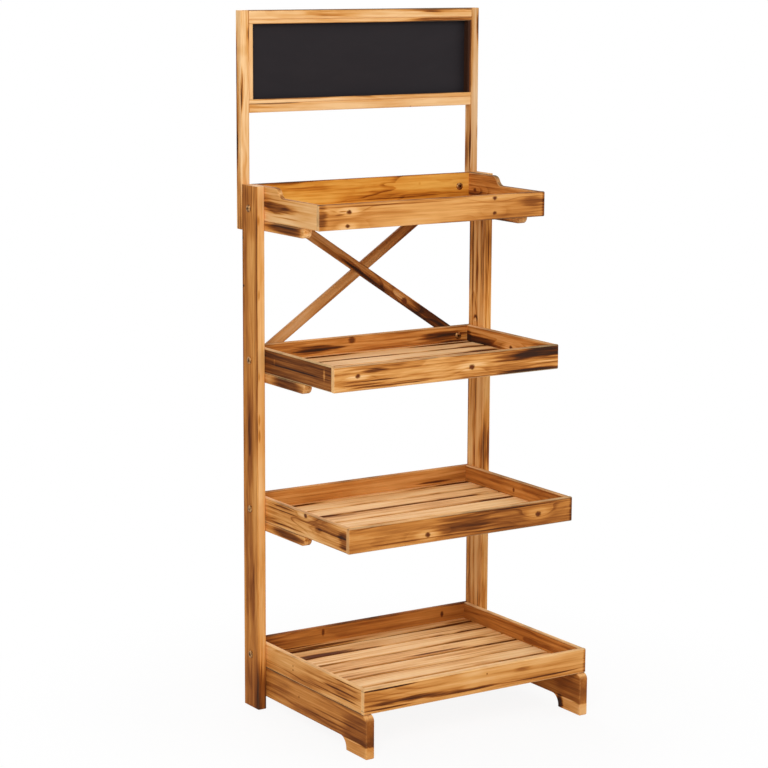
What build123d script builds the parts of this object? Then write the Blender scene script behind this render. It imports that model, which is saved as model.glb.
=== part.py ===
"""Free-standing wooden display stand: four slatted trays on two posts, with a chalkboard sign on top.

Millimetres, +Z up. The floor is z = 0, X runs across the stand and the front looks along -Y.
While it is drawn, y = 0 is the rear face of the posts and of the trays' back boards.
"""

import os
from math import atan2, degrees, hypot

from build123d import *

# Timber stock
board_thickness = 10.0
post_width = 18.0
post_depth = 54.0
edge_ease = 1.5

# Trays, counted from the top
tray_names = ("top_tray", "upper_tray", "lower_tray", "bottom_tray")
tray_width = 500.0
tray_height = 47.0
tray_pitch = 286.0
bottom_tray_bottom = 82.0
top_tray_depth = 248.0
tray_depth_step = 51.5

# Raised rear part of the top tray's sides, with the S-shaped drop to their low front part
back_rise = 18.0
scallop_start = 90.0
scallop_run = 29.0

# Slats and the cleats that carry their ends
slat_thickness = 8.0
slat_width = 46.5
slat_gap = 5.0
slat_end_clearance = 0.5
narrowest_slat = 15.0
rear_slat_widths = (12.0, 12.0, 12.0, 28.5)
cleat_height = 7.0
cleat_width = 14.0
slat_ease = 1.0

# Arms under the three upper trays
arm_width = 18.0
arm_height = 19.0
arm_length = 195.0
arm_nose_radius = 12.0
arm_ease = 2.0

# Base rails under the bottom tray, with a cut-out that leaves a front foot
rail_width = 18.0
rail_overhang = 7.5
rail_cutout_height = 23.5
rail_cutout_radius = 20.0
rail_nose_radius = 12.0
foot_length = 69.0
foot_ease = 3.0

# Chalkboard sign
sign_upright_depth = 20.0
sign_upright_tail = 20.0
sign_gap = 131.5
sign_height = 188.5
sign_rail_height = 17.0
liner_face = 8.0
liner_ease = 0.8
panel_thickness = 3.0
panel_recess = 13.5
panel_groove_depth = 4.0
panel_edge_clearance = 0.5
panel_face_clearance = 0.2

# Crossed braces behind the two upper trays
brace_width = 21.0
brace_thickness = 8.0
brace_tail = 16.0
brace_ease = 1.0
brace_lap_clearance = 0.2
brace_bolt_inset = 32.0
falling_brace_top_height = 28.5
falling_brace_low_height = 27.0
rising_brace_top_height = 38.5
rising_brace_low_height = 31.0

# Bolts, nuts and screws; shanks and bores are out of sight, so they have a few flat sides
shank_sides = 12
screw_sides = 8
bolt_diameter = 6.0
bolt_head_diameter = 14.0
bolt_head_height = 3.2
bolt_head_rim = 0.8
bolt_head_flat = 6.0
bolt_socket_width = 4.0
bolt_socket_depth = 2.0
bolt_end = 2.0
bolt_clearance = 0.4
nut_width = 10.0
nut_height = 5.0
nut_bore_clearance = 0.2
insert_diameter = 9.0
insert_skin = 2.0
insert_clearance = 0.2
insert_run_out = 1.0
tray_bolt_height = 22.5
screw_diameter = 4.0
screw_head_diameter = 8.0
screw_head_land = 0.3
screw_bite = 12.0
screw_clearance = 0.2
screw_edge_distance = 14.0
sign_screw_lift = 8.0
sign_screw_drop = 20.0

# Places worked out from the sizes above
tray_count = len(tray_names)
inner_half = tray_width / 2 - board_thickness
slat_half = inner_half - slat_end_clearance
side_x = tray_width / 2
post_outer_x = side_x + post_width
post_mid_x = side_x + post_width / 2
insert_length = board_thickness - insert_skin
cut_past = edge_ease
tray_bottoms = [bottom_tray_bottom + (tray_count - 1 - i) * tray_pitch for i in range(tray_count)]
tray_depths = [top_tray_depth + i * tray_depth_step for i in range(tray_count)]
tray_tops = [bottom + tray_height for bottom in tray_bottoms]
post_top = tray_tops[0] + back_rise
sign_bottom = post_top + sign_gap
sign_top = sign_bottom + sign_height
upright_bottom = tray_bottoms[0] - sign_upright_tail
rail_front_y = -(tray_depths[-1] + rail_overhang)
origin_shift = Pos(0, -(rail_front_y + sign_upright_depth) / 2, 0)


def span_box(x_span, y_span, z_span):
    """A plain block between two corners."""
    sizes = [abs(b - a) for a, b in (x_span, y_span, z_span)]
    centre = [(a + b) / 2 for a, b in (x_span, y_span, z_span)]
    return Pos(*centre) * Box(*sizes)


def eased_board(x_span, y_span, z_span, grain, ease=edge_ease):
    """A sawn board with its long edges, along the grain, taken off."""
    block = span_box(x_span, y_span, z_span)
    return chamfer(block.edges().filter_by(grain), ease)


def bore(start, end, diameter):
    """A bore between two points on a line along X or Y; its flats clear a shank of that diameter."""
    start, end = Vector(*start), Vector(*end)
    path = end - start
    section = RegularPolygon(diameter / 2, shank_sides, major_radius=False)
    return extrude(Plane(start, z_dir=path) * section, path.length)


def side_profile(points, x_span, rounded):
    """Extrude a closed (y, z) outline across X, after rounding the named corners of it."""
    outline = make_face(Polyline(*points, close=True))
    for corner, radius in rounded:
        nearest = outline.vertices().sort_by_distance(Vector(*corner))[0]
        outline = fillet(nearest, radius)
    return Pos(x_span[0], 0, 0) * extrude(Plane.YZ * outline, x_span[1] - x_span[0])


def broad_edges(solid):
    """The edges all round the two broad sides of a piece that was extruded across X."""
    return solid.faces().filter_by(Axis.X).edges()


def mirrored(shape):
    """The matching right-hand piece of a left-hand one."""
    return mirror(shape, Plane.YZ)


def tray_bolt_spots():
    """(y, z) of the bolt through a post and a tray side, one for each tray."""
    return [(-post_depth / 2, bottom + tray_bolt_height) for bottom in tray_bottoms]


def frame_screw_spots():
    """(y, z) of the screws that hold the arms and the base rail to a post."""
    heights = [bottom - arm_height / 2 for bottom in tray_bottoms[:-1]]
    heights.append((bottom_tray_bottom + rail_cutout_height) / 2)
    rows = (-screw_edge_distance, screw_edge_distance - post_depth)
    return [(y, z) for z in heights for y in rows]


def sign_screw_heights():
    """z of the two screws that hold a sign upright to the back of its post."""
    return (tray_bottoms[0] + sign_screw_lift, post_top - sign_screw_drop)


def falling_brace_spots():
    """(x, z) of the bolts at the top left and low right ends of the falling brace."""
    x = side_x - brace_bolt_inset
    return [(-x, tray_bottoms[0] + falling_brace_top_height), (x, tray_bottoms[1] + falling_brace_low_height)]


def rising_brace_spots():
    """(x, z) of the bolts at the low left and top right ends of the rising brace."""
    x = side_x - brace_bolt_inset
    return [(-x, tray_bottoms[1] + rising_brace_low_height), (x, tray_bottoms[0] + rising_brace_top_height)]


def brace_bolt_spots():
    """(x, z) of all four brace bolts."""
    return falling_brace_spots() + rising_brace_spots()


def bolt(length):
    """A button-head bolt with a hexagon socket, its head above z = 0 and its shank below."""
    rim = (bolt_head_diameter / 2, bolt_head_rim)
    crown = (bolt_head_flat / 2, bolt_head_height)
    dome = TangentArc(crown, rim, tangent=(1, 0))
    edges = Polyline(rim, (rim[0], 0), (0, 0), (0, bolt_head_height), crown)
    head = revolve(Plane.XZ * make_face(edges + dome), Axis.Z)
    shank = extrude(RegularPolygon(bolt_diameter / 2, shank_sides), -length)
    socket = RegularPolygon(bolt_socket_width / 2, 6, major_radius=False)
    return head + shank - extrude(Pos(0, 0, bolt_head_height) * socket, -bolt_socket_depth)


def bored(section, height):
    """A nut of the given section standing on z = 0, bored for a bolt."""
    bore_radius = (bolt_diameter + nut_bore_clearance) / 2
    return extrude(section - RegularPolygon(bore_radius, shank_sides, major_radius=False), height)


def nut():
    """A hexagon nut."""
    return bored(RegularPolygon(nut_width / 2, 6, major_radius=False), nut_height)


def insert_nut():
    """A round insert nut, as long as a tray side is thick less the skin of wood left inside."""
    return bored(RegularPolygon(insert_diameter / 2, shank_sides), insert_length)


def screw_body(head, shank, length):
    """A countersunk head on a shank, the flat of the head at z = 0; the radii are measured to the flats."""
    top = extrude(RegularPolygon(head, screw_sides, major_radius=False), shank - head - screw_head_land)
    top = chamfer(top.faces().sort_by(Axis.Z)[0].edges(), head - shank)
    return top + extrude(RegularPolygon(shank, screw_sides, major_radius=False), -length)


def screw(length):
    """A countersunk wood screw, its flat head at z = 0 and its shank below."""
    return screw_body(screw_head_diameter / 2, screw_diameter / 2, length)


def screw_hole(length):
    """The countersunk hole that a screw sits in, a little wider and deeper than the screw."""
    head = screw_head_diameter / 2 + screw_clearance
    shank = screw_diameter / 2 + screw_clearance
    return screw_body(head, shank, length + screw_clearance)


def facing(x, y, z, direction):
    """Where a fastener goes whose head looks along the given direction."""
    return Plane((x, y, z), z_dir=direction).location


def tray_bolt_holes():
    """Bores for the tray bolts, through the left post."""
    hole = bolt_diameter + bolt_clearance
    return [bore((-post_outer_x - cut_past, y, z), (cut_past - side_x, y, z), hole)
            for y, z in tray_bolt_spots()]


def insert_holes():
    """Blind holes for the insert nuts, from outside into the left tray sides."""
    hole = insert_diameter + insert_clearance
    reach = insert_length + insert_clearance - side_x
    return [bore((-side_x - cut_past, y, z), (reach, y, z), hole) for y, z in tray_bolt_spots()]


def frame_screw_holes():
    """Holes for the screws that go from inside through an arm or rail into the left post."""
    holes = []
    for y, z in frame_screw_spots():
        width = rail_width if z < bottom_tray_bottom else arm_width
        holes.append(facing(width - side_x, y, z, (1, 0, 0)) * screw_hole(width + screw_bite))
    return holes


def sign_screw_holes():
    """Holes for the screws that go from behind through the left upright into the left post."""
    hole = screw_hole(sign_upright_depth + screw_bite)
    return [facing(-post_mid_x, sign_upright_depth, z, (0, 1, 0)) * hole for z in sign_screw_heights()]


def brace_bolt_holes():
    """Bores for the brace bolts, through the back boards and the braces."""
    hole = bolt_diameter + bolt_clearance
    front, rear = -board_thickness - cut_past, brace_thickness + cut_past
    return [bore((x, front, z), (x, rear, z), hole) for x, z in brace_bolt_spots()]


def cut(solid, holes):
    """Take the given holes out of a solid."""
    for hole in holes:
        solid -= hole
    return solid


def left_post():
    post = eased_board((-post_outer_x, -side_x), (-post_depth, 0), (0, post_top), Axis.Z)
    return cut(post, tray_bolt_holes() + frame_screw_holes() + sign_screw_holes())


def left_sign_upright():
    z_span = (upright_bottom, sign_top)
    upright = eased_board((-post_outer_x, -side_x), (0, sign_upright_depth), z_span, Axis.Z)
    return cut(upright, sign_screw_holes())


def sign_rail(bottom):
    z_span = (bottom, bottom + sign_rail_height)
    return eased_board((-side_x, side_x), (0, sign_upright_depth), z_span, Axis.X)


def panel_groove():
    """The slot, all round the liner, that the chalkboard panel slides into."""
    reach = panel_groove_depth - liner_face
    y_span = (panel_recess - panel_face_clearance, panel_recess + panel_thickness + panel_face_clearance)
    z_span = (sign_bottom + sign_rail_height - reach, sign_top - sign_rail_height + reach)
    return span_box((-side_x - reach, side_x + reach), y_span, z_span)


def sign_liners():
    """Four strips that line the sign's frame, the side ones standing between the other two."""
    low, high = sign_bottom + sign_rail_height, sign_top - sign_rail_height
    depth = (0, sign_upright_depth)
    full_x, left_x = (-side_x, side_x), (-side_x, liner_face - side_x)
    low_z, high_z = (low, low + liner_face), (high - liner_face, high)
    strips = {
        "sign_liner_bottom": eased_board(full_x, depth, low_z, Axis.X, liner_ease),
        "sign_liner_top": eased_board(full_x, depth, high_z, Axis.X, liner_ease),
        "sign_liner_left": eased_board(left_x, depth, (low_z[1], high_z[0]), Axis.Z, liner_ease),
    }
    strips["sign_liner_right"] = mirrored(strips["sign_liner_left"])
    groove = panel_groove()
    return {name: strip - groove for name, strip in strips.items()}


def chalkboard_panel():
    edge = liner_face - panel_groove_depth + panel_edge_clearance
    z_span = (sign_bottom + sign_rail_height + edge, sign_top - sign_rail_height - edge)
    y_span = (panel_recess, panel_recess + panel_thickness)
    return span_box((edge - side_x, side_x - edge), y_span, z_span)


def tray_front(i):
    y = -tray_depths[i]
    return eased_board((-side_x, side_x), (y, y + board_thickness), (tray_bottoms[i], tray_tops[i]), Axis.X)


def tray_back(i):
    top = post_top if i == 0 else tray_tops[i]
    back = eased_board((-side_x, side_x), (-board_thickness, 0), (tray_bottoms[i], top), Axis.X)
    return cut(back, brace_bolt_holes()) if i < 2 else back


def scalloped_side(front_y, bottom, low_top):
    """The top tray's side: high at the rear, then an S of two arcs down to the low front part."""
    rear = (-board_thickness, post_top)
    high = (-scallop_start, post_top)
    low = (-scallop_start - scallop_run, low_top)
    middle = ((high[0] + low[0]) / 2, (high[1] + low[1]) / 2)
    curve = TangentArc(high, middle, tangent=(-1, 0)) + TangentArc(low, middle, tangent=(1, 0))
    rest = Polyline(low, (front_y, low_top), (front_y, bottom), (-board_thickness, bottom), rear, high)
    outline = Plane.YZ * make_face(curve + rest)
    side = Pos(-side_x, 0, 0) * extrude(outline, board_thickness)
    edges = broad_edges(side)
    return chamfer(edges - edges.filter_by(Axis.Z), edge_ease)


def left_tray_side(i):
    front_y = board_thickness - tray_depths[i]
    if i == 0:
        side = scalloped_side(front_y, tray_bottoms[i], tray_tops[i])
    else:
        z_span = (tray_bottoms[i], tray_tops[i])
        side = eased_board((-side_x, -inner_half), (front_y, -board_thickness), z_span, Axis.Y)
    return cut(side, insert_holes())


def left_cleat(i):
    y_span = (board_thickness - tray_depths[i], -board_thickness)
    z_span = (tray_bottoms[i], tray_bottoms[i] + cleat_height)
    return span_box((-inner_half, cleat_width - inner_half), y_span, z_span)


def slat_spans(i):
    """(rear y, front y) of each slat: a narrow one at the rear, full ones, and a trimmed one in front."""
    front = board_thickness - tray_depths[i]
    rear = -board_thickness
    spans = [(rear, rear - rear_slat_widths[i])]
    rear = spans[0][1] - slat_gap
    while rear - slat_width >= front:
        spans.append((rear, rear - slat_width))
        rear -= slat_width + slat_gap
    if rear - front >= narrowest_slat:
        spans.append((rear, front))
    return spans


def tray_slats(i):
    bottom = tray_bottoms[i] + cleat_height
    z_span = (bottom, bottom + slat_thickness)
    return [eased_board((-slat_half, slat_half), span, z_span, Axis.X, slat_ease) for span in slat_spans(i)]


def left_arm(i):
    top, low = tray_bottoms[i], tray_bottoms[i] - arm_height
    nose = (-arm_length, low)
    points = [(0, top), (0, low), nose, (-arm_length, top)]
    nose_radius = min(arm_nose_radius, arm_height - arm_ease)
    arm = side_profile(points, (-side_x, arm_width - side_x), [(nose, nose_radius)])
    return cut(chamfer(broad_edges(arm), arm_ease), frame_screw_holes())


def left_base_rail():
    heel_y = rail_front_y + foot_length
    inner_corner = (heel_y, rail_cutout_height)
    nose = (rail_front_y, bottom_tray_bottom)
    toe = (rail_front_y, 0)
    points = [(0, bottom_tray_bottom), (0, rail_cutout_height), inner_corner, (heel_y, 0), toe, nose]
    rounded = [
        (inner_corner, min(rail_cutout_radius, rail_cutout_height - foot_ease)),
        (nose, rail_nose_radius),
        (toe, foot_ease),
    ]
    rail = side_profile(points, (-side_x, rail_width - side_x), rounded)
    return cut(chamfer(broad_edges(rail), edge_ease), frame_screw_holes())


def batten(start, end):
    """A brace batten behind the back boards, from one (x, z) bolt to another, with a tail past each."""
    run, rise = end[0] - start[0], end[1] - start[1]
    length = hypot(run, rise) + 2 * brace_tail
    bar = Box(length, brace_thickness, brace_width)
    bar = chamfer(bar.edges().filter_by(Axis.X), brace_ease)
    place = Pos((start[0] + end[0]) / 2, brace_thickness / 2, (start[1] + end[1]) / 2)
    return place * Rot(0, -degrees(atan2(rise, run)), 0) * bar


def lap_socket(start, end, y_span):
    """The room that the other batten takes at the crossing, in one half of the thickness."""
    run, rise = end[0] - start[0], end[1] - start[1]
    depth = y_span[1] - y_span[0]
    bar = Box(hypot(run, rise), depth, brace_width + 2 * brace_lap_clearance)
    place = Pos((start[0] + end[0]) / 2, (y_span[0] + y_span[1]) / 2, (start[1] + end[1]) / 2)
    return place * Rot(0, -degrees(atan2(rise, run)), 0) * bar


def braces():
    """Two battens half-lapped where they cross, so both lie flat on the back boards."""
    half = brace_thickness / 2
    rear_half = (half, brace_thickness + cut_past)
    front_half = (-cut_past, half)
    falling = batten(*falling_brace_spots()) - lap_socket(*rising_brace_spots(), rear_half)
    rising = batten(*rising_brace_spots()) - lap_socket(*falling_brace_spots(), front_half)
    holes = brace_bolt_holes()
    return {"falling_brace": cut(falling, holes), "rising_brace": cut(rising, holes)}


def tray_fasteners():
    """Bolts through both posts, each with an insert nut sunk in the outer face of a tray side."""
    one_bolt = bolt(post_width + insert_length - insert_run_out)
    one_nut = insert_nut()
    bolts = [facing(-post_outer_x, y, z, (-1, 0, 0)) * one_bolt for y, z in tray_bolt_spots()]
    nuts = [facing(-side_x, y, z, (1, 0, 0)) * one_nut for y, z in tray_bolt_spots()]
    return bolts + [mirrored(b) for b in bolts], nuts + [mirrored(n) for n in nuts]


def brace_fasteners():
    """Bolts from inside the trays through the back boards and braces, each with a nut behind."""
    one_bolt = bolt(board_thickness + brace_thickness + nut_height + bolt_end)
    one_nut = nut()
    bolts = [facing(x, -board_thickness, z, (0, -1, 0)) * one_bolt for x, z in brace_bolt_spots()]
    nuts = [facing(x, brace_thickness, z, (0, 1, 0)) * one_nut for x, z in brace_bolt_spots()]
    return bolts, nuts


def frame_screws():
    """Screws from inside through the arms and the base rails into both posts."""
    screws = []
    for y, z in frame_screw_spots():
        width = rail_width if z < bottom_tray_bottom else arm_width
        screws.append(facing(width - side_x, y, z, (1, 0, 0)) * screw(width + screw_bite))
    return screws + [mirrored(s) for s in screws]


def sign_screws():
    """Screws from behind through the sign's uprights into both posts."""
    one = screw(sign_upright_depth + screw_bite)
    screws = [facing(-post_mid_x, sign_upright_depth, z, (0, 1, 0)) * one for z in sign_screw_heights()]
    return screws + [mirrored(s) for s in screws]


def all_parts():
    """Every piece by its name; a list stands for a group of loose solids."""
    parts = {}

    def add_pair(left, name):
        parts["left_" + name] = left
        parts["right_" + name] = mirrored(left)

    add_pair(left_post(), "post")
    add_pair(left_base_rail(), "base_rail")
    add_pair(left_sign_upright(), "sign_upright")
    parts["sign_top_rail"] = sign_rail(sign_top - sign_rail_height)
    parts["sign_bottom_rail"] = sign_rail(sign_bottom)
    parts.update(sign_liners())
    parts["chalkboard_panel"] = chalkboard_panel()
    for i, tray in enumerate(tray_names):
        parts[tray + "_front"] = tray_front(i)
        parts[tray + "_back"] = tray_back(i)
        parts[tray + "_slats"] = tray_slats(i)
        pairs = {"_side": left_tray_side(i), "_cleat": left_cleat(i)}
        if i < tray_count - 1:
            pairs["_arm"] = left_arm(i)
        for ending, left in pairs.items():
            parts[tray + "_left" + ending] = left
            parts[tray + "_right" + ending] = mirrored(left)
    parts.update(braces())
    parts["tray_bolts"], parts["tray_nuts"] = tray_fasteners()
    parts["brace_bolts"], parts["brace_nuts"] = brace_fasteners()
    parts["frame_screws"] = frame_screws()
    parts["sign_screws"] = sign_screws()
    return parts


def main():
    os.makedirs("parts", exist_ok=True)
    for name, shape in all_parts().items():
        solids = shape if isinstance(shape, list) else [shape]
        placed = [origin_shift * solid for solid in solids]
        piece = placed[0] if len(placed) == 1 else Compound(children=placed)
        piece.label = name
        export_step(piece, f"parts/{name}.step")


main()
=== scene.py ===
"""Dresses the slatted display stand: torched timber, planed slats, a chalkboard and bronzed fasteners."""

from functools import partial, reduce
from math import cos, pi, radians, sin
from random import Random
from typing import NamedTuple

import bmesh
import bpy
from bpy.props import FloatProperty, FloatVectorProperty, PointerProperty
from mathutils import Matrix, Vector


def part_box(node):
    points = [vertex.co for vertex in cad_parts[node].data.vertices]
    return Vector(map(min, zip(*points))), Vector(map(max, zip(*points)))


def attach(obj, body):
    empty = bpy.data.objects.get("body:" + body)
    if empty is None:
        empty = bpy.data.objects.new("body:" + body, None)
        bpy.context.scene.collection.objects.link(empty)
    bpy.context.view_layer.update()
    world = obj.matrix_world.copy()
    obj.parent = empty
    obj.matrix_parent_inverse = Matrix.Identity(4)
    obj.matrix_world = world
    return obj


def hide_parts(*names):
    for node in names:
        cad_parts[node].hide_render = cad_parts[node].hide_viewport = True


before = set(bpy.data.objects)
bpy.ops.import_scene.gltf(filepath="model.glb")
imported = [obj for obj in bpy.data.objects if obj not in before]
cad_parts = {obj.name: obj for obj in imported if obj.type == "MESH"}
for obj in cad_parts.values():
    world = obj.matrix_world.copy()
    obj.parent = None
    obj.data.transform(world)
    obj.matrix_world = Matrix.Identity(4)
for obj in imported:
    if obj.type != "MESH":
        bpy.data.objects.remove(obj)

bl_info = {
    "name": "Slatted Display Stand",
    "version": (1, 0, 0),
    "blender": (4, 5, 0),
    "location": "3D View > Sidebar > Stand",
    "description": "Finishes the boards, slats, sign and fasteners of a torched timber display stand",
    "category": "Object",
}


class Waves(NamedTuple):
    """Waves of noise to the metre along each axis, and how fine and rough the noise is."""

    x: float
    y: float
    z: float
    detail: float = 2.0
    roughness: float = 0.5


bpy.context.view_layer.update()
BODY = "root"
MM = 0.001
TRAYS = ("top", "upper", "lower", "bottom")
SIDES = ("left", "right")
X_AXIS, Y_AXIS, Z_AXIS = Vector((1, 0, 0)), Vector((0, 1, 0)), Vector((0, 0, 1))

# How a copy of a CAD node is merged and softened
MERGE_DISTANCE = 0.01 * MM
FLAT_ANGLE = radians(1)
SHARP_ANGLE = radians(35)
BORE_TURN = radians(25)
ROUND_STEPS = 3

# Bolts, screws and nuts
TURN_STEPS = 32
DOME_STEPS = 6
HEXAGON = 6
BOLT_HEAD = 7 * MM
BOLT_FLAT = 3.2 * MM
BOLT_RISE = 3.2 * MM
BOLT_RIM = 0.8 * MM
BOLT_SHANK = 3 * MM
BOLT_TIP = 0.7 * BOLT_SHANK
THREAD_PITCH = 1 * MM
THREAD_LENGTH = 10 * MM
THREAD_DEPTH = 0.4 * MM
SCREW_HEAD = 4 * MM
SCREW_LAND = 0.3 * MM
SCREW_SHANK = 2 * MM
SCREW_POINT = 3 * MM
RECESS_RADIUS = 2.3 * MM
SOCKET_DEPTH = 1.2 * MM
CROSS_POINTS = 12
CROSS_DEPTH = 1.8 * MM
CROSS_WAIST = 0.37
CROSS_TAPER = 0.45
NUT_RADIUS = 5.77 * MM
NUT_BORE = 3.05 * MM
NUT_ROUND = 0.5 * MM
NUT_ROUND_STEPS = 2

# Noise on a board, whose X runs along the grain, Y across the face and Z through it
BEND_WAVES = Waves(3.5, 16, 16, detail=3)
PATCH_WAVES = Waves(2.5, 36, 36)
STREAK_WAVES = Waves(3.2, 165, 165, detail=4, roughness=0.62)
FIBRE_WAVES = Waves(22, 420, 420)
HEAT_WAVES = Waves(5, 26, 26, detail=3)
RAGGED_WAVES = Waves(9, 190, 190, detail=3)
RIM_WAVES = Waves(9, 60, 60, detail=3)
KNOT_WAVES = Waves(280, 280, 280)
WEAR_WAVES = Waves(40, 40, 40, detail=3)
NOISE_MIDDLE = 0.5
NOISE_SPAN = (0.35, 0.65)

# Ends that a mask eases to
WHOLE = (0.0, 1.0)
FADE_OUT = (1.0, 0.0)

# Growth rings: how one darkens and ends over the gap to the next, and how much they stray and differ
SEED_STRIDE = 3.7
RING_STRETCH = (0.05, 1, 1)
STRAY_GAIN = 4.0
RING_RISE = (0.5, 0.9)
RING_END = (0.92, 1.0)
RING_WEIGHT = (0.1, 1.0)
PATCH_SHARE = (0.3, 1.0)
STREAK_SPAN = (0.34, 0.66)
FIBRE_SPAN = (0.3, 0.7)

# Knots: how far each mask is squeezed along the grain, and the radii over which it fades
KNOT_ROUGHNESS = 0.7
CORE_SQUEEZE, CORE_SPAN = 0.8, (0.45, 1.2)
HALO_SQUEEZE, HALO_SPAN = 0.36, (1.0, 2.8)
SWELL_SQUEEZE, SWELL_SPAN = 0.25, (0.2, 4.0)
SWELL_HEIGHT = 1.6

# Patches of scorch and of painted shade: where a patch ends, as a share of its half size, and the share over
# which it fades
PATCH_EDGE = 1.2
PATCH_FADE = 0.85
LINE_HALF_WIDTH = 1.8
DOT_RAGGED = 0.3

# Sanded edges: spans of a face's slope, and how much of the sanding shows there; on the upper faces the
# paleness is partly sanding and partly painted highlight
ARRIS_SPAN = (0.95, 1.0)
UNDER_SPAN, UNDER_SHARE = (-0.9, -0.3), (0.7, 1.0)
LEVEL_SPAN, LEVEL_SHARE = (0.1, 0.5), (0.35, 1.0)
CREST_SPAN = (0.5, 0.9)
END_SPAN = (0.8, 0.95)
WEAR_SPAN, WEAR_SHARE = (0.3, 0.6), (0.75, 1.0)

# Torched timber: the middle of each part of the grain and its share of the tone or the height
GRAIN = ("Late Wood", "Streak", "Fibre", "Heat")
TORCHED_GRAIN = {"Late Wood": (0.2, 0.4), "Streak": (0.5, 0.3), "Fibre": (0.5, 0.14)}
TORCHED_HEIGHT = {"Late Wood": (0.0, 0.5), "Streak": (0.0, 0.2), "Fibre": (0.0, 0.3)}
TORCHED_TONES = {"pale": 0.0, "honey": 0.25, "amber": 0.42, "brown": 0.6, "dark": 0.8, "char": 1.0}
TORCHED_SPAN, TORCHED_ROUGHNESS = (0.2, 1.0), (0.55, 0.8)
BLOTCH = 1.1
GAIN_SPAN, GAIN_SHARE = (0.05, 0.55), (0.4, 1.0)
END_GAIN = (1.0, 0.3)
HALO_TONE = -0.2
WORN_SPAN, WORN_SHARE = (0.25, 1.0), (1.0, 0.7)
BUMP_STRENGTH = 0.6

# Planed slats: their grain, the painted shade on their flanks inside the gaps, and how their scorched rims
# grow by chance; the growth by row towards the back and towards the ends is painted shade in the gaps
PLANED_GRAIN = {"Heat": (0.5, 1.3), "Late Wood": (0.2, 0.3), "Streak": (0.5, 0.46), "Fibre": (0.5, 0.16)}
PLANED_TONES = {"slat_sap": 0.0, "slat_pale": 0.26, "slat_honey": 0.48, "slat_amber": 0.7, "slat_brown": 1.0}
PLANED_ROUGHNESS = (0.5, 0.7)
SAPWOOD = -0.35
SLAT_FLANK_SHADE_SPAN, SLAT_FLANK_SHADE = (0.3, 0.9), 0.1
SLAT_BAND = 1.6
SLAT_RELIEF = 0.4
RIM_BY_CHANCE = (0.5, 1.1)
RIM_AND_GAP_SHADE_BY_ROW = (0.2, 1.4)
RIM_AND_GAP_SHADE_BY_END, RIM_AND_GAP_SHADE_END_START = (0.6, 2.0), 0.25

# What chance draws for a board's rings, and for the tone and scorched patch of one without a look of its own
PITH_ALONG = 0.3
PITH_ACROSS = 0.03
PITH_DEPTHS = (0.02, 0.06)
BOARD_SEEDS = (0, 20)
PATCH_REACH = 0.8
PATCH_ACROSS = 15
PATCH_LENGTHS = (40, 90)
PATCH_WIDTHS = (6, 16)
PATCH_HEATS = (0.1, 0.35)
TOAST_SPREAD = 0.06

# What chance draws for each slat
SLAT_SEEDS = (1, 50)
SLAT_STRIDE = 5.0
SLAT_RINGS = 40.0
SLAT_SHIFT = (-0.03, 0.03)
SLAT_PITH = (0, 0, -0.035)
SLAT_SPREAD = 0.28

# Chalkboard paint and bronze
WIPE_WAVES = Waves(5, 5, 14, detail=4)
SPECK_WAVES = Waves(900, 900, 900)
RUB_WAVES = Waves(260, 260, 260, detail=3)
WIPE_SPAN = (0.42, 0.75)
SPECK_SPAN, SPECK_SHARE = (0.3, 0.7), (0.6, 1.0)
SPECK_RELIEF = 0.05 * MM
DUST_SHARE = 0.6
CHALKBOARD_ROUGHNESS = (0.62, 0.85)
BRONZE_ROUGHNESS = (0.55, 0.4)

# The stage, in metres: each lamp's size and place, and how the floor's shadow fades away from the stand
LAMPS = {"key": (2.0, (-2.6, -3.3, 2.9)), "fill": (2.5, (3.2, -2.4, 2.0)), "back": (2.5, (0.8, 3.8, 2.6))}
LAMP_TARGET = (0, 0, 0.7)
FLOOR_SIZE = 30.0
VIEW_DEPTH = 100.0
SHADOW_SPAN, SHADOW_GLOW = (0.25, 0.9), (0.9, 1.0)

# Ends and faces of the boards, in millimetres from the board's centre
BOARD_END = 250
RAIL_TOP = 41
RAIL_END = 205
ARM_END = 97
POST_FRONT = 27
POST_OUTSIDE = -9
SIGN_FRONT = -10

# Sockets of a Mix node that mixes colours
MIX_SHARE, MIX_FIRST, MIX_SECOND, MIX_RESULT = 0, 6, 7, 2


def srgb(red, green, blue):
    """A colour picked on screen, 0 to 255, as the linear values that shaders use."""
    shares = [channel / 255 for channel in (red, green, blue)]
    return tuple(s / 12.92 if s <= 0.04045 else ((s + 0.055) / 1.055) ** 2.4 for s in shares)


def colour_property(name, description, default):
    return FloatVectorProperty(name=name, description=description, default=default, subtype="COLOR",
                               min=0, max=1)


def number_property(name, description, default, **kind):
    return FloatProperty(name=name, description=description, default=default, **kind)


length_property = partial(number_property, unit="LENGTH")
angle_property = partial(number_property, subtype="ANGLE")
power_property = partial(number_property, unit="POWER")


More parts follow.
